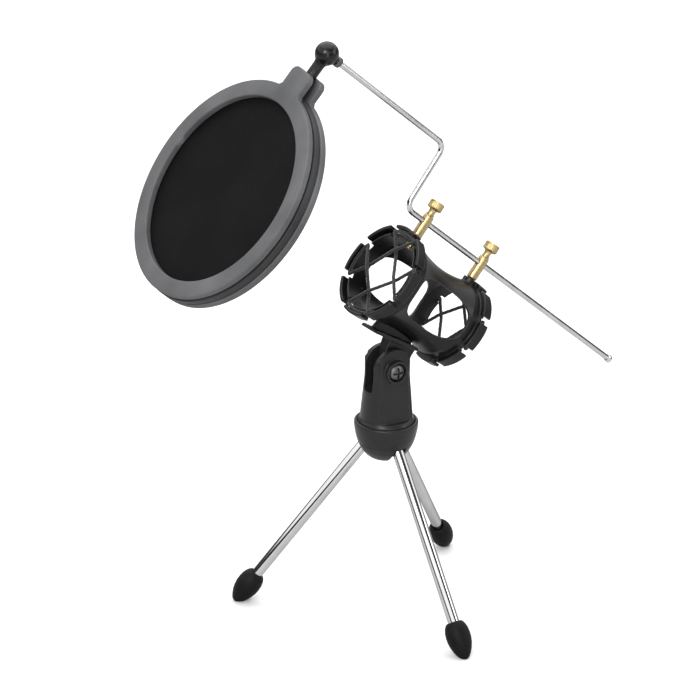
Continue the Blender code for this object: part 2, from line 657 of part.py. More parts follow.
def main():
    clear_scene()
    black = material("black_plastic", (0.018, 0.019, 0.021), 0.42)
    gloss = material("gloss_black", (0.012, 0.012, 0.013), 0.18)
    grey = material("dark_grey_plastic", (0.115, 0.118, 0.123), 0.62)
    nylon = material("nylon_mesh", (0.010, 0.010, 0.011), 0.85)
    chrome = material("chrome_tube", (0.78, 0.78, 0.79), 0.14, 1.0)
    rod_steel = material("rod_steel", (0.62, 0.62, 0.63), 0.24, 1.0)
    zinc = material("screw_steel", (0.30, 0.30, 0.31), 0.38, 1.0)
    brass = material("brass", (0.80, 0.58, 0.24), 0.28, 1.0)
    rubber = material("foot_rubber", (0.020, 0.020, 0.021), 0.70)
    elastic = material("elastic_cord", (0.012, 0.012, 0.012), 0.80)

    stand = empty("stand", shifted(STAND_X, STAND_Y, 0))
    build_hub(stand, black)
    build_legs(stand, chrome, rubber, zinc)

    swivel = empty("swivel", Matrix.Identity(4))
    place(swivel, stand)
    build_swivel_base(swivel, black, rod_steel)
    build_pivot_screw(swivel, zinc)

    pivot = empty("tilt_pivot", Matrix.Identity(4))
    tilt = Matrix.Rotation(math.radians(TILT), 4, "Y")
    place(pivot, swivel, shifted(0, 0, PIVOT_Z) @ tilt)
    cradle = empty("cradle", Matrix.Identity(4))
    place(cradle, pivot, shifted(-SHIFT, 0, RISE))
    build_cradle(cradle, black)
    build_cords(cradle, elastic)
    build_posts(cradle, brass)

    slider = empty("rod_slider", Matrix.Identity(4))
    place(slider, cradle, rod_roll())
    build_rod(slider, rod_steel, gloss)
    ball = empty("ball_joint", Matrix.Identity(4))
    place(ball, slider, shifted(ROD_BEND - ROD_REACH, 0, ROD_Z + ROD_STEP))
    build_ball(ball, gloss)
    filter_body = empty("filter_swivel", Matrix.Identity(4))
    place(filter_body, ball, filter_frame() @ shifted(-FILTER_REACH, 0, 0))
    build_filter(filter_body, grey, nylon)


main()
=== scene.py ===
"""Looks for the desktop pop filter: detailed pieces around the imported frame, in metres, +Z up."""
import json
import math

import bmesh
import bpy
from mathutils import Matrix, Vector


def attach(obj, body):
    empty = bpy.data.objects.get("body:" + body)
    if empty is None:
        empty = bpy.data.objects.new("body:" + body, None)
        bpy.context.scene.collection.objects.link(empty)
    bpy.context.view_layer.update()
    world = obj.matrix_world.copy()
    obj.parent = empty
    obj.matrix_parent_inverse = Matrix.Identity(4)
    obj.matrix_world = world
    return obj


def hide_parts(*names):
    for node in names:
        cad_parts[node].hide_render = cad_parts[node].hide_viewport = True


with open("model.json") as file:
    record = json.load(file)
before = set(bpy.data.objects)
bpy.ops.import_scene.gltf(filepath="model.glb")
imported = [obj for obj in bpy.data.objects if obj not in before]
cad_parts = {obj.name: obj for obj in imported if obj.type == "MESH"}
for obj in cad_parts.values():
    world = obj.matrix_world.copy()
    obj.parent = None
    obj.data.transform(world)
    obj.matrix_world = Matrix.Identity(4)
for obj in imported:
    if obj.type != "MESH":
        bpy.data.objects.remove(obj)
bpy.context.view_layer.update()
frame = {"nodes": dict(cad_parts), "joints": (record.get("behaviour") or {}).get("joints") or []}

MM = 0.001
JOINTS = {joint["name"]: joint for joint in frame["joints"]}

# ---- dimensions in millimetres, as in the CAD part ----------------------------------------------------
LEG_AZIMUTHS = (150.5, 270.5, 30.5)
LEG_R = 3.0
LEG_PIN_RADIUS = 8.0
LEG_PIN_Z = 95.1
FOOT_CIRCLE = 76.8
FOOT_TIP_Z = 1.8
LEG_SOCKET = 5.0
HUB_R = 16.7
HUB_TOP = 104.4
HUB_BOTTOM = 83.8
SLOT_W = 6.8
SLOT_TOP = 99.6
PIN_POCKET_R = 4.3
STUD_R = 3.2
BASE_BOTTOM = 102.7
BASE_R_LOW = 13.8
BASE_R_HIGH = 11.7
FLAT_LOW = 10.5
FLAT_HIGH = 7.8
EAR_R = 11.0
YOKE_SLOT = 7.6
YOKE_FLOOR = 122.0
GROOVE_X = 8.8
GROOVE_R = 0.9
BOSS_R = 6.3
BOSS_OUT = 10.2
PIVOT_Z = 133.5
PIVOT_R = 2.0
RISE = 37.9
SHIFT = 8.5
WALL_IN = 20.5
WALL_OUT = 22.2
BAND_NEAR = 20.2
BAND_FAR = 27.1
FINGER_FAR = 29.8
FINGER_OUT = 21.4
HOOK_NEAR = 25.1
HOOK_FAR = 31.2
HOOK_IN = 23.55
HOOK_OUT = 25.3
HOOKS = 8
HOOK_GAP = 4.0
RING_TAPER = 0.035
WAIST_OUT = 19.3
WAIST_IN = 17.3
WINDOW_X = 20.0
WINDOW_Z = 11.6
WINDOW_SQUARE_X = 0.55
WINDOW_SQUARE_Z = 0.7
KNUCKLE_W = 7.0
KNUCKLE_R = 7.6
CORD_R = 0.86
CORD_WRAP = 22.5
CORD_X = 28.9
CORD_LIFT = 1.0
CORD_CROSSING = 0.31
POST_X = 22.8
POST_BASE = 24.5
POST_TOP = 37.6
POST_R = 2.75
POST_SHANK_R = 1.7
ROD_R = 1.5
ROD_Z = 33.7
ROD_TAIL = 135.6
ROD_BEND = -38.5
ROD_STEP = 37.4
ROD_REACH = 91.6
ROD_ROLL = -2.1
BEND_R = 5.5
BALL_R = 6.0
STEM_R = 2.9
FILTER_REACH = 83.4
FILTER_NOD = 3.3
FILTER_TWIST = 1.8
OPENING_R = 50.0
FRONT_R = 58.6
HOOP_R = 59.2
REAR_R = 59.6
FRAME_T = 3.6
HOOP_T = 3.4
GROOVE = 0.6
MESH_R = 53.4
TAB_END = 70.5
TAB_W = 17.0

# ---- fineness of the meshes -----------------------------------------------------------------------------
STAND_VOXEL = 0.30
CRADLE_VOXEL = 0.34
SOFTENING = 3
CORD_STEP = 0.42
CORD_TWIST = 3.2
KNURL_TEETH = 28


# ---- frames -------------------------------------------------------------------------------------------
def shifted(x, y, z):
    return Matrix.Translation((x * MM, y * MM, z * MM))


def turned_about(axis, degrees):
    return Matrix.Rotation(math.radians(degrees), 4, axis)


def axes_matrix(first, second, third, origin):
    made = Matrix((first, second, third)).transposed().to_4x4()
    made.translation = origin
    return made


ALONG_X = turned_about("Y", 90)
ALONG_Y = turned_about("X", 90)

stand_at = Vector(JOINTS["base_pan"]["pos_m"])
STAND = Matrix.Translation((stand_at.x, stand_at.y, 0))
pivot_at = Vector(JOINTS["cradle_tilt"]["pos_m"])
along = Vector(JOINTS["rod_slide"]["axis"]).normalized()
side = Vector(JOINTS["cradle_tilt"]["axis"]).normalized()
up = along.cross(side)
CRADLE = axes_matrix(along, side, up, pivot_at) @ shifted(-SHIFT, 0, RISE)
PIVOT = STAND @ shifted(0, 0, PIVOT_Z) @ ALONG_Y
ball_at = Vector(JOINTS["ball_turn"]["pos_m"])
stem_axis = Vector(JOINTS["filter_turn"]["axis"]).normalized()
ROD = CRADLE @ shifted(0, 0, ROD_Z) @ turned_about("X", ROD_ROLL) @ shifted(0, 0, -ROD_Z)
facing = Vector((-1.0, -math.tan(math.radians(FILTER_TWIST)), -math.tan(math.radians(FILTER_NOD))))
face_axis = ROD.to_3x3() @ facing
face_axis = (face_axis - stem_axis * face_axis.dot(stem_axis)).normalized()
BALL = axes_matrix(*(Vector(column) for column in ROD.to_3x3().transposed()), ball_at)
AIM = axes_matrix(stem_axis, face_axis.cross(stem_axis), face_axis, ball_at)
FILTER = AIM @ shifted(-FILTER_REACH, 0, 0)


# ---- mesh helpers -------------------------------------------------------------------------------------
def rounded(points, radius, count=3, closed=False, keep=()):
    """A 2D outline with its corners eased."""
    found = []
    total = len(points)
    for k, point in enumerate(points):
        corner = Vector(point)
        if (not closed and k in (0, total - 1)) or k in keep:
            found.append(tuple(corner))
            continue
        before = Vector(points[k - 1]) - corner
        after = Vector(points[(k + 1) % total]) - corner
        turn = math.pi - before.angle(after)
        if turn < math.radians(12):
            found.append(tuple(corner))
            continue
        cut = min(radius, before.length * 0.45, after.length * 0.45)
        start = corner + before.normalized() * cut
        finish = corner + after.normalized() * cut
        for j in range(count + 1):
            t = j / count
            found.append(tuple(start * (1 - t) ** 2 + corner * 2 * t * (1 - t) + finish * t ** 2))
    return found


def cleaned(bm, name):
    """A mesh with its seams joined and its faces pointing out."""
    bmesh.ops.remove_doubles(bm, verts=bm.verts, dist=1e-7)
    bmesh.ops.recalc_face_normals(bm, faces=bm.faces)
    mesh = bpy.data.meshes.new(name)
    bm.to_mesh(mesh)
    bm.free()
    return mesh


def lathe(name, profile, steps=64, closed=False, shape=None):
    """A profile of (radius, z) turned about Z; shape(angle, radius, z) may change a radius."""
    bm = bmesh.new()
    rows = []
    for r, z in profile:
        row = []
        for k in range(steps):
            angle = 2 * math.pi * k / steps
            here = r if shape is None or r < 1e-6 else shape(angle, r, z)
            row.append(bm.verts.new((here * MM * math.cos(angle), here * MM * math.sin(angle), z * MM)))
        rows.append(row)
    pairs = list(zip(rows, rows[1:]))
    if closed:
        pairs.append((rows[-1], rows[0]))
    for upper, lower in pairs:
        for k in range(steps):
            bm.faces.new((upper[k], upper[(k + 1) % steps], lower[(k + 1) % steps], lower[k]))
    return cleaned(bm, name)


def cylinder(name, radius, low, high, steps=48):
    return lathe(name, [(0, high), (radius, high), (radius, low), (0, low)], steps)


def block(name, low, high):
    bm = bmesh.new()
    bmesh.ops.create_cube(bm, size=1.0)
    bmesh.ops.scale(bm, verts=bm.verts, vec=[(h - l) * MM for l, h in zip(low, high)])
    bmesh.ops.translate(bm, verts=bm.verts, vec=[(h + l) * MM / 2 for l, h in zip(low, high)])
    return cleaned(bm, name)


def prism(name, outline, thickness):
    """A flat outline in XY, given thickness about Z = 0."""
    bm = bmesh.new()
    low = [bm.verts.new((x * MM, y * MM, -thickness * MM / 2)) for x, y in outline]
    high = [bm.verts.new((x * MM, y * MM, thickness * MM / 2)) for x, y in outline]
    bm.faces.new(list(reversed(low)))
    bm.faces.new(high)
    count = len(outline)
    for k in range(count):
        bm.faces.new((low[k], low[(k + 1) % count], high[(k + 1) % count], high[k]))
    return cleaned(bm, name)


def arc(radius, start, end, count, centre=(0.0, 0.0)):
    """Points on an arc, from one angle to another in degrees."""
    found = []
    for k in range(count + 1):
        angle = math.radians(start + (end - start) * k / count)
        found.append((centre[0] + radius * math.cos(angle), centre[1] + radius * math.sin(angle)))
    return found


def filleted(points, radius, count):
    """A 3D polyline with each inner corner replaced by an arc."""
    found = [Vector(points[0])]
    for before, corner, after in zip(points, points[1:], points[2:]):
        corner = Vector(corner)
        back = (Vector(before) - corner).normalized()
        ahead = (Vector(after) - corner).normalized()
        half = back.angle(ahead) / 2
        cut = radius / math.tan(half)
        centre = corner + (back + ahead).normalized() * radius / math.sin(half)
        start = corner + back * cut - centre
        finish = corner + ahead * cut - centre
        swing = start.angle(finish)
        for k in range(count + 1):
            share = k / count
            mixed = math.sin((1 - share) * swing) * start + math.sin(share * swing) * finish
            found.append(centre + mixed / math.sin(swing))
    found.append(Vector(points[-1]))
    return found


def tube(name, points, radius, sides=20, cyclic=False, section=None):
    """A tube swept along points; section(angle, travelled) may scale its radius."""
    points = [Vector(p) for p in points]
    count = len(points)
    tangents = []
    for k in range(count):
        ahead = points[(k + 1) % count] if cyclic or k < count - 1 else points[k]
        behind = points[k - 1] if cyclic or k > 0 else points[k]
        tangents.append((ahead - behind).normalized())
    normal = tangents[0].orthogonal().normalized()
    bm = bmesh.new()
    rows = []
    travelled = 0.0
    normals = []
    for k, tangent in enumerate(tangents):
        if k:
            turn = tangents[k - 1].rotation_difference(tangent)
            normal = (turn @ normal).normalized()
        normals.append(normal.copy())
    twist = 0.0
    if cyclic:
        turn = tangents[-1].rotation_difference(tangents[0])
        last = turn @ normals[-1]
        twist = last.angle(normals[0])
        if last.cross(normals[0]).dot(tangents[0]) < 0:
            twist = -twist
    for k, (point, tangent) in enumerate(zip(points, tangents)):
        if k:
            travelled += (point - points[k - 1]).length
        across = tangent.cross(normals[k])
        extra = twist * k / count
        row = []
        for j in range(sides):
            angle = 2 * math.pi * j / sides + extra
            scale = 1.0 if section is None else section(2 * math.pi * j / sides, travelled)
            offset = (normals[k] * math.cos(angle) + across * math.sin(angle)) * radius * scale
            row.append(bm.verts.new((point + offset) * MM))
        rows.append(row)
    pairs = list(zip(rows, rows[1:]))
    if cyclic:
        pairs.append((rows[-1], rows[0]))
    for first, second in pairs:
        for j in range(sides):
            bm.faces.new((first[j], first[(j + 1) % sides], second[(j + 1) % sides], second[j]))
    if not cyclic:
        bm.faces.new(rows[0])
        bm.faces.new(rows[-1])
    return cleaned(bm, name)


def thing(name, mesh, matrix):
    obj = bpy.data.objects.new(name, mesh)
    bpy.context.scene.collection.objects.link(obj)
    obj.matrix_world = matrix
    return obj


def applied(obj):
    """Turns an object's modifiers into its mesh."""
    bpy.context.view_layer.update()
    made = bpy.data.meshes.new_from_object(obj.evaluated_get(bpy.context.evaluated_depsgraph_get()))
    obj.modifiers.clear()
    old = obj.data
    obj.data = made
    made.name = obj.name
    bpy.data.meshes.remove(old)
    return obj


def settled(obj):
    """Moves an object's placement into its mesh, so that its box is measured along the world's axes."""
    bpy.context.view_layer.update()
    obj.data.transform(obj.matrix_world)
    obj.matrix_world = Matrix.Identity(4)
    return obj


def carve(obj, mesh, matrix, operation="DIFFERENCE"):
    other = thing("carver", mesh, matrix)
    mod = obj.modifiers.new("carve", "BOOLEAN")
    mod.operation = operation
    mod.solver = "EXACT"
    mod.object = other
    applied(obj)
    bpy.data.objects.remove(other, do_unlink=True)
    return obj


def moulded(obj, voxel, passes, factor=0.5):
    """Softens every edge, as in a moulding."""
    mesh = obj.modifiers.new("voxels", "REMESH")
    mesh.mode = "VOXEL"
    mesh.voxel_size = voxel * MM
    mesh.use_smooth_shade = True
    soft = obj.modifiers.new("soft", "SMOOTH")
    soft.factor = factor
    soft.iterations = passes
    return applied(obj)


def finish_piece(obj, body, nodes, material, angle=40.0):
    """Gives a piece its material and body, and hides the CAD nodes that it stands for."""
    obj.data.materials.clear()
    obj.data.materials.append(material)
    obj.data.shade_smooth()
    if angle < 180:
        obj.data.set_sharp_from_angle(angle=math.radians(angle))
    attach(obj, body)
    if nodes:
        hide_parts(*nodes)
    return obj


# ---- materials ----------------------------------------------------------------------------------------
class Shader:
    """A node material built around one Principled BSDF."""

    def __init__(self, name, roughness, metallic=0.0):
        self.material = bpy.data.materials.new(name)
        self.material.use_nodes = True
        self.tree = self.material.node_tree
        self.bsdf = self.tree.nodes["Principled BSDF"]
        self.bsdf.inputs["Roughness"].default_value = roughness
        self.bsdf.inputs["Metallic"].default_value = metallic
        self.coords = self.add("ShaderNodeTexCoord").outputs["Object"]

    def add(self, kind, **settings):
        node = self.tree.nodes.new(kind)
        for key, value in settings.items():
            setattr(node, key, value)
        return node

    def link(self, source, target):
        self.tree.links.new(source, target)

    def noise(self, scale, detail=3.0, roughness=0.5, stretch=None):
        source = self.coords
        if stretch is not None:
            mapping = self.add("ShaderNodeMapping")
            mapping.inputs["Scale"].default_value = stretch
            self.link(source, mapping.inputs["Vector"])
            source = mapping.outputs["Vector"]
        node = self.add("ShaderNodeTexNoise")
        node.inputs["Scale"].default_value = scale
        node.inputs["Detail"].default_value = detail
        node.inputs["Roughness"].default_value = roughness
        self.link(source, node.inputs["Vector"])
        return node.outputs["Fac"]

    def math(self, operation, first, second=None, clamp=False):
        node = self.add("ShaderNodeMath", operation=operation, use_clamp=clamp)
        for socket, value in zip(node.inputs, (first, second)):
            if value is None:
                continue
            if isinstance(value, (int, float)):
                socket.default_value = value
            else:
                self.link(value, socket)
        return node.outputs[0]

    def span(self, value, low, high, from_low=0.0, from_high=1.0):
        node = self.add("ShaderNodeMapRange")
        node.inputs["From Min"].default_value = from_low
        node.inputs["From Max"].default_value = from_high
        node.inputs["To Min"].default_value = low
        node.inputs["To Max"].default_value = high
        self.link(value, node.inputs["Value"])
        return node.outputs["Result"]

    def mix(self, factor, first, second):
        node = self.add("ShaderNodeMix", data_type="RGBA")
        self.link(factor, node.inputs["Factor"])
        for socket, value in ((node.inputs[6], first), (node.inputs[7], second)):
            if isinstance(value, tuple):
                socket.default_value = (*value, 1.0)
            else:
                self.link(value, socket)
        return node.outputs[2]

    def colour(self, source):
        self.link(source, self.bsdf.inputs["Base Color"])

    def rough(self, source):
        self.link(source, self.bsdf.inputs["Roughness"])

    def bump(self, height, strength, distance):
        node = self.add("ShaderNodeBump")
        node.inputs["Strength"].default_value = strength
        node.inputs["Distance"].default_value = distance
        self.link(height, node.inputs["Height"])
        self.link(node.outputs["Normal"], self.bsdf.inputs["Normal"])


def moulded_plastic(name, dark, light, rough, grain, depth, coat=0.0, edge=None, specular=0.30):
    """Spark-textured plastic: a fine grain and a slow drift of tone; where an edge colour is given, sharp
    edges take it, partly as wear and partly as a painted highlight.
    """
    shader = Shader(name, rough)
    drift = shader.noise(45, 2)
    fine = shader.noise(grain, 4, 0.65)
    tone = shader.math("ADD", shader.math("MULTIPLY", drift, 0.6), shader.math("MULTIPLY", fine, 0.4))
    base = shader.mix(shader.span(tone, 0, 1, 0.3, 0.7), dark, light)
    # Paler sharp edges: partly edge wear, partly a painted highlight where light catches the rounded edges.
    if edge is not None:
        edge_sharpness = shader.add("ShaderNodeNewGeometry").outputs["Pointiness"]
        patchy = shader.span(drift, 0.3, 1, 0.35, 0.65)
        wear_and_highlight_mask = shader.math("MULTIPLY", shader.span(edge_sharpness, 0, 1, 0.52, 0.60), patchy)
        base = shader.mix(wear_and_highlight_mask, base, edge)
    shader.colour(base)
    shader.rough(shader.span(fine, rough - 0.07, rough + 0.09, 0.3, 0.7))
    shader.bump(fine, depth, 0.00012)
    shader.bsdf.inputs["Specular IOR Level"].default_value = specular
    shader.bsdf.inputs["Coat Weight"].default_value = coat
    shader.bsdf.inputs["Coat Roughness"].default_value = 0.2
    return shader.material


def bright_metal(name, dark, light, rough, stretch, depth):
    """Plated or drawn metal: faint draw marks, a few rubbed patches and darker grazing edges."""
    shader = Shader(name, rough, 1.0)
    shader.bsdf.inputs["Specular Tint"].default_value = (0.35, 0.35, 0.35, 1)
    marks = shader.noise(1.0, 3, 0.6, stretch)
    patch = shader.noise(60, 2)
    tone = shader.math("ADD", shader.math("MULTIPLY", marks, 0.5), shader.math("MULTIPLY", patch, 0.5))
    shader.colour(shader.mix(shader.span(tone, 0, 1, 0.35, 0.65), dark, light))
    shader.rough(shader.span(tone, rough * 0.7, rough * 1.5, 0.3, 0.7))
    shader.bump(marks, depth, 0.00003)
    return shader.material


def woven_mesh(name):
    """An open plain weave of dark nylon, seen as threads with darker holes between them."""
    shader = Shader(name, 0.7)
    pitch = 0.0008
    split = shader.add("ShaderNodeSeparateXYZ")
    shader.link(shader.coords, split.inputs[0])
    warp = shader.math("MULTIPLY", split.outputs["X"], math.pi / pitch)
    weft = shader.math("MULTIPLY", split.outputs["Y"], math.pi / pitch)
    warp_wave = shader.math("SINE", warp)
    weft_wave = shader.math("SINE", weft)
    over = shader.span(shader.math("MULTIPLY", warp_wave, weft_wave), 0, 1, -0.4, 0.4)
    warp_thread = shader.math("POWER", shader.math("ABSOLUTE", shader.math("COSINE", warp)), 0.6)
    weft_thread = shader.math("POWER", shader.math("ABSOLUTE", shader.math("COSINE", weft)), 0.6)
    upper = shader.math("MULTIPLY", warp_thread, shader.math("ADD", shader.math("MULTIPLY", over, 0.5), 0.5))
    under = shader.math("SUBTRACT", 1.0, shader.math("MULTIPLY", over, 0.5))
    lower = shader.math("MULTIPLY", weft_thread, under)
    height = shader.math("MAXIMUM", upper, lower)
    drift = shader.noise(30, 2)
    thread = shader.mix(shader.span(drift, 0, 1, 0.3, 0.7), (0.005, 0.005, 0.0055), (0.009, 0.009, 0.0095))
    base = shader.mix(shader.span(height, 0, 1, 0.45, 0.8), (0.0015, 0.0015, 0.0016), thread)
    shader.colour(base)
    shader.rough(shader.span(height, 0.9, 0.6, 0.3, 1.0))
    shader.bump(height, 0.6, 0.0002)
    shader.bsdf.inputs["Specular IOR Level"].default_value = 0.08
    return shader.material


def braid(name):
    """Woven elastic cord: fine paler strands over black."""
    shader = Shader(name, 0.75)
    strands = shader.noise(1600, 3, 0.6)
    drift = shader.noise(120, 2)
    tone = shader.math("ADD", shader.math("MULTIPLY", strands, 0.6), shader.math("MULTIPLY", drift, 0.4))
    share = shader.span(tone, 0, 1, 0.35, 0.65)
    shader.colour(shader.mix(share, (0.006, 0.006, 0.0065), (0.030, 0.030, 0.032)))
    shader.rough(shader.span(strands, 0.6, 0.9, 0.3, 0.7))
    shader.bump(strands, 0.5, 0.00015)
    shader.bsdf.inputs["Sheen Weight"].default_value = 0.3
    return shader.material


# The edge colour paints the sharp edges paler: partly wear, partly a painted highlight.
black = moulded_plastic("black_moulding", (0.004, 0.0041, 0.0044), (0.009, 0.0092, 0.0098), rough=0.32,
                        grain=2600, depth=0.25, coat=0.04, edge=(0.10, 0.10, 0.102))
base_black = moulded_plastic("base_moulding", (0.010, 0.0103, 0.011), (0.019, 0.0194, 0.0205), rough=0.34,
                             grain=1500, depth=0.35, coat=0.04)
# The edge colour paints the sharp edges paler: partly wear, partly a painted highlight.
grey = moulded_plastic("frame_plastic", (0.070, 0.071, 0.074), (0.132, 0.133, 0.137), rough=0.58,
                       grain=1300, depth=0.55, edge=(0.19, 0.19, 0.195))
hoop_grey = moulded_plastic("hoop_plastic", (0.020, 0.0203, 0.021), (0.042, 0.0425, 0.044), rough=0.50,
                            grain=1300, depth=0.45)
gloss = moulded_plastic("gloss_plastic", (0.003, 0.003, 0.0033), (0.006, 0.006, 0.0065), rough=0.27,
                        grain=900, depth=0.02, coat=0.15)
rubber = moulded_plastic("foot_rubber", (0.003, 0.003, 0.0032), (0.008, 0.008, 0.0084), rough=0.50,
                         grain=1500, depth=0.4, specular=0.14)
chrome = bright_metal("chrome_plate", (0.66, 0.66, 0.67), (0.76, 0.76, 0.77), rough=0.08,
                      stretch=(400, 400, 12), depth=0.03)
wire_steel = bright_metal("wire_steel", (0.60, 0.60, 0.61), (0.76, 0.76, 0.77), rough=0.16,
                          stretch=(300, 300, 300), depth=0.06)
zinc = bright_metal("screw_zinc", (0.10, 0.10, 0.104), (0.22, 0.22, 0.226), rough=0.38,
                    stretch=(300, 300, 300), depth=0.12)
brass = bright_metal("turned_brass", (0.46, 0.34, 0.15), (0.62, 0.49, 0.26), rough=0.32,
                     stretch=(60, 60, 900), depth=0.10)
nylon = woven_mesh("nylon_weave")
elastic = braid("elastic_braid")


# ---- camera, light and floor --------------------------------------------------------------------------
DARK = 0.02
# The studio walls from the horizon up: a dark skirting, a bright wash, then a dimmer ceiling.
WALL_LEVELS = ((0.0, DARK), (0.19, DARK), (0.24, 1.25), (0.60, 1.25), (0.75, 0.35))
# A dark gap between two soft boxes, as a direction and the cosines of its edges.
GAP_DIRECTION = (0.254, -0.698, 0.669)
GAP_EDGES = (0.930, 0.955)
# What the camera sees beyond the floor, and how pale the floor is to everything but the camera.
PALE_SKY = 0.92
FLOOR_BOUNCE = 0.50
# Name, place, aim, size and power of each soft box.
SOFT_BOXES = (
    ("overhead", (0.35, 0.6, 2.2), (0.2, 0.35, 0), (3.2, 3.2), 62),
    ("key", (-1.3, -1.0, 1.3), (0, 0, 0.17), (0.7, 0.7), 16),
    ("fill", (1.3, -1.2, 0.7), (0, 0, 0.15), (0.3, 1.0), 4),
    ("front", (-0.75, -1.6, 0.35), (0, 0, 0.15), (0.2, 0.7), 4),
)
CAMERA_AZIMUTH = -33.16
CAMERA_ELEVATION = 21.76
CAMERA_DISTANCE = 1.5
CAMERA_ROLL = 0.97
LENS = 150.51
SENSOR = 36.0
AIM_HEIGHT = 0.150
AIM_LEFT = 0.01932
AIM_DOWN = 0.00707


def build_camera():
    azimuth = math.radians(CAMERA_AZIMUTH)
    elevation = math.radians(CAMERA_ELEVATION)
    back = Vector((math.sin(azimuth) * math.cos(elevation), -math.cos(azimuth) * math.cos(elevation),
                   math.sin(elevation)))
    right = Vector((math.cos(azimuth), math.sin(azimuth), 0))
    above = back.cross(right)
    aim = Vector((stand_at.x, stand_at.y, AIM_HEIGHT))
    eye = aim + back * CAMERA_DISTANCE
    target = aim - right * AIM_LEFT - above * AIM_DOWN
    data = bpy.data.cameras.new("camera")
    data.sensor_width = SENSOR
    data.lens = LENS
    data.clip_start = 0.05
    data.clip_end = 50.0
    camera = bpy.data.objects.new("camera", data)
    bpy.context.scene.collection.objects.link(camera)
    look = (eye - target).normalized()
    across = Vector((0, 0, 1)).cross(look).normalized()
    camera.matrix_world = axes_matrix(across, look.cross(across), look, eye) @ turned_about("Z", CAMERA_ROLL)
    bpy.context.scene.camera = camera


def area_light(name, at, to, size, energy):
    data = bpy.data.lights.new(name, "AREA")
    data.shape = "RECTANGLE"
    data.size = size[0]
    data.size_y = size[1]
    data.energy = energy
    light = bpy.data.objects.new(name, data)
    bpy.context.scene.collection.objects.link(light)
    direction = (Vector(to) - Vector(at)).normalized()
    light.rotation_mode = "QUATERNION"
    light.location = at
    light.rotation_quaternion = direction.to_track_quat("-Z", "Y")


def build_floor():
    floor = thing("floor", lathe("floor", [(0, 0), (6000, 0)], 64), shifted(0, 0, -0.05))
    shader = Shader("floor_paper", 0.9)
    paper = shader.mix(shader.noise(8, 3), (0.93, 0.93, 0.93), (0.95, 0.95, 0.95))
    direct = shader.add("ShaderNodeLightPath").outputs["Is Camera Ray"]
    shader.colour(shader.mix(direct, (FLOOR_BOUNCE,) * 3, paper))
    floor.data.materials.append(shader.material)


def world_mix(tree, factor, first, grey_level):
    """Mixes a colour with a plain grey."""
    node = tree.nodes.new("ShaderNodeMix")
    node.data_type = "RGBA"
    node.inputs[7].default_value = (grey_level, grey_level, grey_level, 1)
    tree.links.new(factor, node.inputs["Factor"])
    tree.links.new(first, node.inputs[6])
    return node.outputs[2]


def build_world():
    """Banded studio walls, which the metal reflects, behind a plain pale sky."""
    world = bpy.data.worlds.new("studio")
    bpy.context.scene.world = world
    world.use_nodes = True
    tree = world.node_tree
    background = tree.nodes["Background"]
    background.inputs["Strength"].default_value = 1.0
    direction = tree.nodes.new("ShaderNodeTexCoord").outputs["Generated"]
    split = tree.nodes.new("ShaderNodeSeparateXYZ")
    tree.links.new(direction, split.inputs[0])
    ramp = tree.nodes.new("ShaderNodeValToRGB")
    for k, (position, value) in enumerate(WALL_LEVELS):
        stop = ramp.color_ramp.elements[k] if k < 2 else ramp.color_ramp.elements.new(position)
        stop.position = position
        stop.color = (value, value, value, 1)
    tree.links.new(split.outputs["Z"], ramp.inputs["Fac"])
    towards = tree.nodes.new("ShaderNodeVectorMath")
    towards.operation = "DOT_PRODUCT"
    towards.inputs[1].default_value = GAP_DIRECTION
    tree.links.new(direction, towards.inputs[0])
    gap = tree.nodes.new("ShaderNodeMapRange")
    gap.inputs["From Min"].default_value = GAP_EDGES[0]
    gap.inputs["From Max"].default_value = GAP_EDGES[1]
    tree.links.new(towards.outputs["Value"], gap.inputs["Value"])
    wall = world_mix(tree, gap.outputs["Result"], ramp.outputs["Color"], DARK)
    direct = tree.nodes.new("ShaderNodeLightPath").outputs["Is Camera Ray"]
    tree.links.new(world_mix(tree, direct, wall, PALE_SKY), background.inputs["Color"])


def build_stage():
    build_floor()
    build_world()
    for soft_box in SOFT_BOXES:
        area_light(*soft_box)
    bpy.context.scene.view_settings.view_transform = "Standard"


# ---- stand --------------------------------------------------------------------------------------------
LEAN = math.atan2(FOOT_CIRCLE - LEG_PIN_RADIUS, LEG_PIN_Z - FOOT_TIP_Z)
REACH = math.hypot(FOOT_CIRCLE - LEG_PIN_RADIUS, LEG_PIN_Z - FOOT_TIP_Z)


def leg_frame(azimuth):
    """A leg's frame, on its hinge with Z up along the leg."""
    turn = turned_about("Z", azimuth)
    return STAND @ turn @ shifted(LEG_PIN_RADIUS, 0, LEG_PIN_Z) @ turned_about("Y", -math.degrees(LEAN))


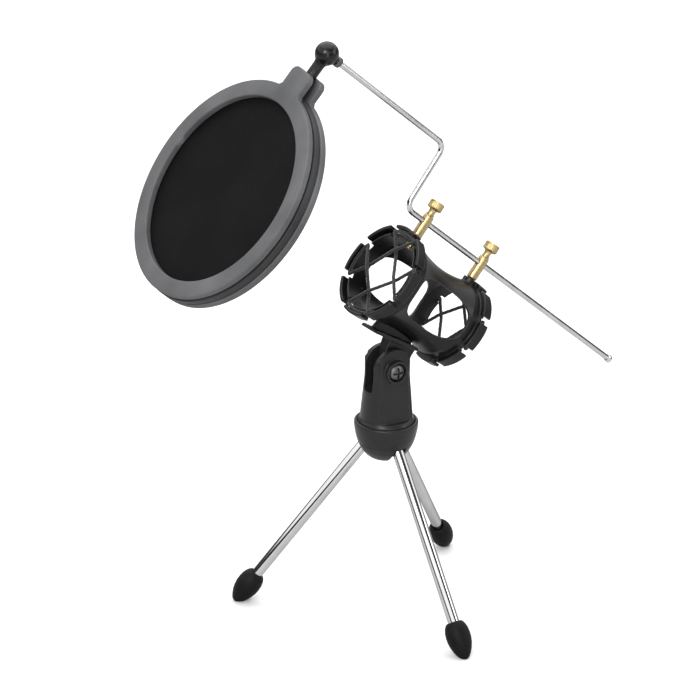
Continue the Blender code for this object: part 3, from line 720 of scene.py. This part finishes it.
def build_hub():
    outer = [(15.2, HUB_TOP), (16.2, HUB_TOP), (HUB_R, HUB_TOP - 0.6), (HUB_R, HUB_TOP - 2.6)]
    outer += [(16.4, 99.4), (15.7, 95.8), (14.5, 92.0), (12.8, 88.7), (10.9, 86.2), (8.9, 84.5)]
    outer += [(7.5, HUB_BOTTOM), (0.0, HUB_BOTTOM)]
    inner = [(0.0, HUB_TOP - 3.8), (STUD_R + 0.3, HUB_TOP - 3.8), (STUD_R + 0.3, HUB_TOP - 2.0)]
    inner += [(15.2, HUB_TOP - 2.0)]
    hub = thing("hub_bowl", lathe("hub_bowl", inner + outer, 96), STAND)
    out = (math.cos(LEAN), math.sin(LEAN))
    down = (math.sin(LEAN), -math.cos(LEAN))
    stop = (LEG_PIN_RADIUS + out[0] * 3.35, LEG_PIN_Z + out[1] * 3.35)
    top = (stop[0] - down[0] * 2.6, stop[1] - down[1] * 2.6)
    low = (stop[0] + down[0] * 20.0, stop[1] + down[1] * 20.0)
    outline = [(4.0, 80.0), (low[0], 80.0), low, top, (top[0] - 1.5, SLOT_TOP), (4.0, SLOT_TOP)]
    for azimuth in LEG_AZIMUTHS:
        turn = STAND @ turned_about("Z", azimuth)
        carve(hub, prism("slot", outline, SLOT_W), turn @ ALONG_Y)
        carve(hub, cylinder("pocket", PIN_POCKET_R, -SLOT_W / 2 + 0.01, SLOT_W / 2 - 0.01),
              turn @ shifted(LEG_PIN_RADIUS, 0, LEG_PIN_Z) @ ALONG_Y)
    moulded(hub, STAND_VOXEL, SOFTENING)
    finish_piece(hub, "stand", ["tripod_hub"], base_black, 180)


def build_legs():
    foot = [(0.0, LEG_SOCKET - 0.3), (LEG_R + 0.15, LEG_SOCKET - 0.3), (LEG_R + 0.15, 17.3), (3.9, 17.3)]
    foot += [(4.7, 16.6), (5.6, 15.0), (6.2, 12.9), (6.45, 10.4), (6.35, 7.8), (5.8, 5.0), (4.9, 2.4)]
    foot += [(3.7, 0.2), (2.5, -1.5), (1.2, -2.5), (0.0, -2.7)]
    for k, azimuth in enumerate(LEG_AZIMUTHS):
        tag = "_%d" % (k + 1)
        swing = leg_frame(azimuth)
        end = LEG_SOCKET - REACH
        tube_profile = rounded([(0, 2.6), (LEG_R, 2.6), (LEG_R, end), (0, end)], 0.5)
        leg = thing("leg_tube" + tag, lathe("leg_tube", tube_profile, 64), swing)
        finish_piece(leg, "leg" + tag, ["leg" + tag], chrome)
        cap_profile = rounded(foot, 0.6, 3)
        cap = thing("foot_cap" + tag, lathe("foot_cap", cap_profile, 64), swing @ shifted(0, 0, -REACH))
        world = cap.matrix_world
        back = world.inverted()
        for vert in cap.data.vertices:
            at = world @ vert.co
            if at.z < 0:
                at.z = 0
                vert.co = back @ at
        finish_piece(settled(cap), "leg" + tag, ["foot" + tag], rubber)


def build_base():
    height = PIVOT_Z + EAR_R
    inner = [(STUD_R + 0.3, BASE_BOTTOM), (STUD_R + 0.3, 115.0), (0.0, 115.0)]
    outer = [(0.0, height + 4), (BASE_R_HIGH, height + 4), (BASE_R_HIGH, PIVOT_Z - 4)]
    outer += [(BASE_R_LOW, BASE_BOTTOM + 3.4), (14.4, BASE_BOTTOM + 2.6), (14.9, BASE_BOTTOM + 1.8)]
    outer += [(14.9, BASE_BOTTOM)]
    base = thing("swivel_yoke", lathe("swivel_yoke", outer + inner, 96), STAND)
    shape = [(-16.0, 100.0), (16.0, 100.0), (16.0, PIVOT_Z - 6.0)]
    shape += arc(EAR_R + 0.45, -10, 190, 37, (0.0, PIVOT_Z)) + [(-16.0, PIVOT_Z - 6.0)]
    carve(base, prism("ears", shape, 60), STAND @ ALONG_Y, "INTERSECT")
    level = BASE_BOTTOM + 3.6
    slope = (FLAT_HIGH - FLAT_LOW) / (PIVOT_Z - level)
    for sign in (-1, 1):
        wedge = [(sign * FLAT_LOW, level), (sign * 30, level), (sign * 30, 170)]
        wedge += [(sign * (FLAT_LOW + slope * (170 - level)), 170)]
        carve(base, prism("flat", wedge, 60), STAND @ turned_about("Z", 90) @ ALONG_Y)
    carve(base, cylinder("boss", BOSS_R, -BOSS_OUT, BOSS_OUT, 64), PIVOT, "UNION")
    half = YOKE_SLOT / 2
    yoke = [(-half, 170.0), (-half, YOKE_FLOOR + 1.6), (-half + 0.8, YOKE_FLOOR + 0.4)]
    yoke += [(-half + 2.0, YOKE_FLOOR)]
    yoke += [(-x, z) for x, z in reversed(yoke)]
    carve(base, prism("yoke", yoke, 60), STAND @ turned_about("Z", 90) @ ALONG_Y)
    for across in (-1, 1):
        for front in (-1, 1):
            low = Vector((across * GROOVE_X, front * FLAT_LOW, level))
            rise = Vector((0, front * slope * 40.0, 40.0))
            lean = Vector((0, 0, 1)).rotation_difference(rise).to_matrix().to_4x4()
            carve(base, cylinder("corner_groove", GROOVE_R, 0, rise.length, 16), STAND @ shifted(*low) @ lean)
    carve(base, cylinder("head_recess", 4.9, 7.6, 20.0), PIVOT)
    carve(base, cylinder("nut_recess", 4.5, -20.0, -7.2, 6), PIVOT)
    carve(base, cylinder("pivot_hole", PIVOT_R + 0.3, -30.0, 30.0), PIVOT)
    moulded(base, STAND_VOXEL, SOFTENING)
    finish_piece(base, "swivel", ["swivel_base"], base_black, 180)


def build_pivot_screw():
    profile = [(0.0, 10.9), (1.6, 10.75), (3.0, 10.3), (4.0, 9.6), (4.5, 8.8), (4.5, 7.9)]
    profile += [(PIVOT_R, 7.9), (PIVOT_R, -10.2), (PIVOT_R - 0.5, -10.6), (0.0, -10.6)]
    screw = thing("tilt_screw", lathe("tilt_screw", rounded(profile, 0.35, 3), 64), PIVOT)
    arm = [(0.62, 0.62), (2.9, 0.62), (2.9, -0.62)]
    cross = []
    for k in range(4):
        turn = Matrix.Rotation(-k * math.pi / 2, 2)
        cross += [tuple(turn @ Vector(p)) for p in arm]
    carve(screw, prism("cross", cross, 3.0), PIVOT @ shifted(0, 0, 10.8))
    finish_piece(screw, "swivel", ["pivot_screw"], zinc)
    nut = thing("tilt_nut", cylinder("tilt_nut", 4.15, -9.7, -7.5, 6), PIVOT)
    carve(nut, cylinder("hole", PIVOT_R + 0.2, -20, 0), PIVOT)
    bevel = nut.modifiers.new("edges", "BEVEL")
    bevel.width = 0.25 * MM
    bevel.segments = 2
    bevel.limit_method = "ANGLE"
    applied(nut)
    finish_piece(nut, "swivel", ["pivot_nut"], zinc)


# ---- cradle -------------------------------------------------------------------------------------------
def waist(radius, edge, count=10):
    """The drawn-in middle, from one ring's band to the other's."""
    found = []
    for k in range(1, 2 * count):
        x = BAND_NEAR * (1 - k / count)
        share = abs(x) / BAND_NEAR
        found.append((radius + (edge - radius) * share ** 2, x))
    return found


def tapered(profile):
    """The front ring a little larger than the rear one."""
    return [(r * (1 - RING_TAPER * x / CORD_X), x) for r, x in profile]


def cradle_profile():
    """The wall's closed section as (radius, place along the axis), with a row of hooks at each end."""
    outer = [(HOOK_IN, HOOK_FAR), (HOOK_OUT, HOOK_FAR), (HOOK_OUT, HOOK_NEAR), (WALL_OUT, HOOK_NEAR)]
    outer += [(WALL_OUT, BAND_NEAR)]
    inner = [(WALL_IN, BAND_NEAR), (WALL_IN, FINGER_FAR), (FINGER_OUT, FINGER_FAR), (FINGER_OUT, BAND_FAR)]
    inner += [(HOOK_IN, BAND_FAR)]
    profile = outer + waist(WAIST_OUT, WALL_OUT)
    profile += [(r, -x) for r, x in reversed(outer)]
    profile += [(r, -x) for r, x in reversed(inner)]
    profile += [(r, -x) for r, x in waist(WAIST_IN, WALL_IN)]
    return tapered(profile + inner)


def hook_slots(sign):
    """The gaps between one ring's hooks, as one cutter."""
    outline = [(18.0, BAND_FAR), (18.0, 36.0), (30.0, 36.0), (30.0, HOOK_NEAR - 0.3)]
    outline += [(WALL_OUT + 0.1, HOOK_NEAR - 0.3), (WALL_OUT + 0.1, BAND_FAR)]
    one = prism("slot", [(r, sign * x) for r, x in outline], HOOK_GAP)
    bm = bmesh.new()
    for k in range(HOOKS):
        start = len(bm.verts)
        bm.from_mesh(one)
        bm.verts.ensure_lookup_table()
        turn = turned_about("Z", 360 / HOOKS * (k + 0.5)) @ ALONG_Y
        bmesh.ops.transform(bm, matrix=turn, verts=bm.verts[start:])
    mesh = bpy.data.meshes.new("slots")
    bm.to_mesh(mesh)
    bm.free()
    return mesh


def build_cradle():
    """The shock mount's frame: wall, windows, hooks, keel, knuckle and the seats of the two posts."""
    body = thing("cradle_body", lathe("cradle_body", cradle_profile(), 96, True), CRADLE @ ALONG_X)
    window = []
    for k in range(64):
        c = math.cos(2 * math.pi * k / 64)
        s = math.sin(2 * math.pi * k / 64)
        across = WINDOW_X * math.copysign(abs(c) ** WINDOW_SQUARE_X, c)
        window.append((across, WINDOW_Z * math.copysign(abs(s) ** WINDOW_SQUARE_Z, s)))
    carve(body, prism("window", window, 80), CRADLE @ ALONG_Y)
    for sign in (-1, 1):
        carve(body, hook_slots(sign), CRADLE @ ALONG_X)
    web = [(-13.0, -19.0), (-14.0, -26.0), (12.0, -21.8), (12.0, -19.0)]
    carve(body, prism("web", web, 3.2), CRADLE @ ALONG_Y, "UNION")
    flange = [(-15.6, -27.6), (-15.2, -25.7), (13.6, -21.2), (14.0, -22.9)]
    carve(body, prism("flange", flange, 14.4), CRADLE @ ALONG_Y, "UNION")
    knuckle = [(-3.0, -25.0), (15.0, -22.3)] + arc(KNUCKLE_R, 12, -190, 36, (SHIFT, -RISE))
    carve(body, prism("knuckle", knuckle, KNUCKLE_W), CRADLE @ ALONG_Y, "UNION")
    carve(body, cylinder("hole", PIVOT_R + 0.3, -30, 30), CRADLE @ shifted(SHIFT, 0, -RISE) @ ALONG_Y)
    for sign in (-1, 1):
        at = CRADLE @ shifted(sign * POST_X, 0, 0)
        carve(body, cylinder("pad", 3.9, 21.2, 24.2), at, "UNION")
        carve(body, cylinder("relief", POST_R + 0.45, 24.2, 32), at)
        carve(body, cylinder("bore", POST_SHANK_R + 0.3, 10, 30), at)
        carve(body, cylinder("seat", 3.5, 15, 20.8), at)
    moulded(body, CRADLE_VOXEL, SOFTENING)
    finish_piece(body, "cradle", ["shock_mount_frame"], black, 180)


def ring_point(angle, x):
    turn = math.radians(angle)
    wrap = CORD_WRAP * (1 - RING_TAPER * x / CORD_X)
    return Vector((x, math.sin(turn) * wrap, math.cos(turn) * wrap))


def cord_route(sign):
    """Four chords of a star, each over its neighbour at one crossing and under at the other."""
    start = -180.0 / HOOKS
    found = []
    for k in range(4):
        first = ring_point(start + 90.0 * k, sign * CORD_X)
        last = ring_point(start + 90.0 * k + 135.0, sign * CORD_X)
        for share in (0.0, 0.07, 0.18, 0.31, 0.42, 0.5, 0.58, 0.69, 0.82, 0.93, 1.0):
            point = first.lerp(last, share)
            reach = min(1.0, share / CORD_CROSSING, (1 - share) / CORD_CROSSING)
            lift = reach * max(-1.0, min(1.0, (0.5 - share) / (0.5 - CORD_CROSSING)))
            point.x = sign * (CORD_X + CORD_LIFT * lift)
            found.append(point)
        for turn in (6, 14, 22.5, 31, 39):
            found.append(ring_point(start + 90.0 * k + 135.0 - turn, sign * CORD_X))
    return found


def resampled(points, step):
    """A smooth closed curve through the points, with even spacing."""
    count = len(points)
    fine = []
    for k in range(count):
        a, b, c, d = points[k - 1], points[k], points[(k + 1) % count], points[(k + 2) % count]
        for j in range(8):
            t = j / 8
            fine.append(0.5 * ((2 * b) + (c - a) * t + (2 * a - 5 * b + 4 * c - d) * t ** 2
                               + (3 * b - a - 3 * c + d) * t ** 3))
    lengths = [0.0]
    for here, there in zip(fine, fine[1:] + fine[:1]):
        lengths.append(lengths[-1] + (there - here).length)
    total = lengths[-1]
    wanted = max(8, round(total / step))
    found = []
    k = 0
    for j in range(wanted):
        goal = total * j / wanted
        while lengths[k + 1] < goal:
            k += 1
        share = (goal - lengths[k]) / (lengths[k + 1] - lengths[k])
        found.append(fine[k].lerp(fine[(k + 1) % len(fine)], share))
    return found, total


def build_cords():
    for name, node, sign in (("cord_front", "elastic_front", -1), ("cord_rear", "elastic_rear", 1)):
        route, total = resampled(cord_route(sign), CORD_STEP)
        turns = round(total / CORD_TWIST)

        def strand(angle, travelled):
            return 1.0 + 0.07 * math.cos(3 * angle + 2 * math.pi * turns * travelled / total)

        cord = thing(name, tube(name, route, CORD_R, 18, True, strand), CRADLE)
        finish_piece(cord, "cradle", [node], elastic, 180)


# ---- clamp posts and rod ------------------------------------------------------------------------------
def build_posts():
    for k, sign in enumerate((-1, 1)):
        tag = "_%d" % (k + 1)
        at = CRADLE @ shifted(sign * POST_X, 0, 0)
        profile = [(0.0, POST_TOP), (POST_R - 0.4, POST_TOP), (POST_R, POST_TOP - 0.4)]
        profile += [(POST_R, POST_BASE + 0.5), (POST_R - 0.3, POST_BASE), (POST_SHANK_R, POST_BASE)]
        profile += [(POST_SHANK_R, 17.6), (0.0, 17.6)]
        post = thing("post_body" + tag, lathe("post_body", rounded(profile, 0.25, 3), 64), at)
        carve(post, cylinder("rod_hole", ROD_R + 0.2, -10, 10), at @ shifted(0, 0, ROD_Z) @ ALONG_X)
        carve(post, cylinder("thread", 1.8, ROD_Z, 50), at)
        finish_piece(post, "cradle", ["clamp_post" + tag], brass)
        nut = thing("shank_nut" + tag, cylinder("shank_nut", 3.15, 18.3, 20.5, 6), at)
        carve(nut, cylinder("hole", POST_SHANK_R + 0.2, 10, 30), at)
        bevel = nut.modifiers.new("edges", "BEVEL")
        bevel.width = 0.22 * MM
        bevel.segments = 2
        bevel.limit_method = "ANGLE"
        applied(nut)
        finish_piece(nut, "cradle", ["post_nut" + tag], brass)

        head = [(0.0, 45.8), (3.6, 45.8), (4.0, 45.4), (4.0, 42.0), (3.5, 41.5), (2.3, 41.2), (1.9, 40.6)]
        head += [(1.9, 38.5), (2.4, 38.3), (2.4, 37.95), (1.5, 37.95), (1.5, 35.5), (0.0, 35.5)]

        def knurl(angle, radius, z):
            if radius > 3.7 and 42.2 < z < 45.2:
                return radius - 0.14 * (0.5 + 0.5 * math.cos(KNURL_TEETH * angle))
            return radius

        rows = []
        for point, after in zip(head, head[1:]):
            rows.append(point)
            if point[0] == 4.0 and after[0] == 4.0:
                rows += [(4.0, 45.2), (4.0, 45.0), (4.0, 42.6), (4.0, 42.3)]
        rows.append(head[-1])
        screw = thing("thumb_head" + tag, lathe("thumb_head", rows, 168, False, knurl), at)
        carve(screw, block("notch", (-0.8, -6, 43.6), (0.8, 6, 50)), at @ turned_about("Z", 55))
        finish_piece(screw, "thumbscrew" + tag, ["thumbscrew" + tag], brass)


def build_rod():
    high = ROD_Z + ROD_STEP
    ball = ROD_BEND - ROD_REACH
    route = [(ROD_TAIL - 0.6, 0, ROD_Z), (ROD_BEND, 0, ROD_Z), (ROD_BEND, 0, high), (ball - 1.0, 0, high)]
    rod = thing("bent_rod", tube("bent_rod", filleted(route, BEND_R, 20), ROD_R, 40), ROD)
    finish_piece(settled(rod), "rod", ["boom_rod"], wire_steel)
    tip = [(0.0, ROD_TAIL), (1.9, ROD_TAIL), (2.2, ROD_TAIL - 0.4), (2.0, ROD_TAIL - 3.0)]
    tip += [(1.6, ROD_TAIL - 3.0), (1.6, ROD_TAIL - 0.3), (0.0, ROD_TAIL - 0.3)]
    stop = thing("rod_tip", lathe("rod_tip", rounded(tip, 0.2, 2), 48), ROD @ shifted(0, 0, ROD_Z) @ ALONG_X)
    finish_piece(stop, "rod", ["rod_end_stop"], wire_steel)
    ring = [(ROD_R + 0.05, 9.6), (2.2, 9.6), (2.7, 9.2), (2.7, 7.0), (2.4, 6.6), (ROD_R + 0.05, 6.6)]
    collar = thing("rod_ferrule", lathe("rod_ferrule", rounded(ring, 0.2, 2, True), 48, True), BALL @ ALONG_X)
    finish_piece(collar, "rod", ["rod_collar"], zinc)


# ---- ball stem and filter -----------------------------------------------------------------------------
def build_ball():
    neck = math.degrees(math.acos((STEM_R + 0.9) / BALL_R))
    profile = [(r, z) for r, z in arc(BALL_R, 90, -neck, 40)]
    foot = profile[-1]
    profile += [(STEM_R + 0.25, foot[1] - 0.8), (STEM_R, foot[1] - 1.8), (STEM_R, -12.9)]
    profile += [(STEM_R - 0.35, -13.2), (STEM_R - 0.35, -23.2), (STEM_R - 0.8, -23.7), (0.0, -23.7)]
    profile[0] = (0.0, BALL_R)
    knob = thing("ball_knob", lathe("ball_knob", profile, 80), AIM @ ALONG_X)
    carve(knob, cylinder("socket", ROD_R + 0.15, -1.4, 12), BALL @ ALONG_X)
    finish_piece(knob, "ball", ["ball_stem"], gloss)


def frame_outline(radius, count=180):
    """A circle that runs out into the tab at +X."""
    half = TAB_W / 2
    root = math.degrees(math.asin((half + 1.5) / radius))
    tab = [(TAB_END, half - 4.0)] + arc(4.0, 0, 90, 10, (TAB_END - 4.0, half - 4.0))[1:]
    tab += [(math.cos(math.radians(root)) * radius + 1.6, half)]
    return tab + arc(radius, root, 360 - root, count) + [(x, -y) for x, y in reversed(tab)]


def frame_plate(name, radius, low, high, edge):
    """A flat ring with a tab, all its edges rounded."""
    curve = bpy.data.curves.new(name, "CURVE")
    curve.dimensions = "2D"
    curve.fill_mode = "BOTH"
    curve.bevel_depth = edge * MM
    curve.bevel_resolution = 3
    curve.offset = -edge * MM
    curve.extrude = ((high - low) / 2 - edge) * MM
    hole = arc(OPENING_R, 0, 360, 180)[:-1]
    for points in (frame_outline(radius), list(reversed(hole))):
        spline = curve.splines.new("POLY")
        spline.points.add(len(points) - 1)
        for point, (x, y) in zip(spline.points, points):
            point.co = (x * MM, y * MM, 0, 1)
        spline.use_cyclic_u = True
    holder = thing(name, curve, FILTER @ shifted(0, 0, (low + high) / 2))
    bpy.context.view_layer.update()
    mesh = bpy.data.meshes.new_from_object(holder.evaluated_get(bpy.context.evaluated_depsgraph_get()))
    bpy.data.objects.remove(holder, do_unlink=True)
    bm = bmesh.new()
    bm.from_mesh(mesh)
    return thing(name, cleaned(bm, name), FILTER @ shifted(0, 0, (low + high) / 2))


def build_filter():
    half = HOOP_T / 2
    inner = half + GROOVE
    outer = inner + FRAME_T
    channel = FILTER @ ALONG_X
    for name, node, radius, low, high in (
            ("frame_front", "filter_front_ring", FRONT_R, inner, outer),
            ("frame_rear", "filter_rear_ring", REAR_R, -outer, -inner)):
        ring = frame_plate(name, radius, low, high, 0.7)
        carve(ring, cylinder("channel", STEM_R - 0.1, 59.9, 80.0), channel)
        finish_piece(settled(ring), "filter", [node], grey)
    hoop = [(50.6, half), (HOOP_R, half), (HOOP_R, -half), (50.6, -half)]
    band = thing("frame_hoop", lathe("frame_hoop", rounded(hoop, 0.6, 4, True), 240, True), FILTER)
    finish_piece(settled(band), "filter", ["spacer_hoop"], hoop_grey)
    for name, node, sign in (("screen_front", "front_mesh", 1), ("screen_rear", "rear_mesh", -1)):
        rings = [(MESH_R * k / 16, 0) for k in range(17)]
        screen = thing(name, lathe(name, rings, 96), FILTER @ shifted(0, 0, sign * (half + 0.3)))
        finish_piece(screen, "filter", [node], nylon, 180)


def paint_kept_nodes():
    """Small hidden pieces that stay as they are in the CAD."""
    for node in ("leg_pin_1", "leg_pin_2", "leg_pin_3", "pan_stud"):
        obj = frame["nodes"][node]
        obj.data.materials.clear()
        obj.data.materials.append(zinc)


build_camera()
build_stage()
build_hub()
build_legs()
build_base()
build_pivot_screw()
build_cradle()
build_cords()
build_posts()
build_rod()
build_ball()
build_filter()
paint_kept_nodes()
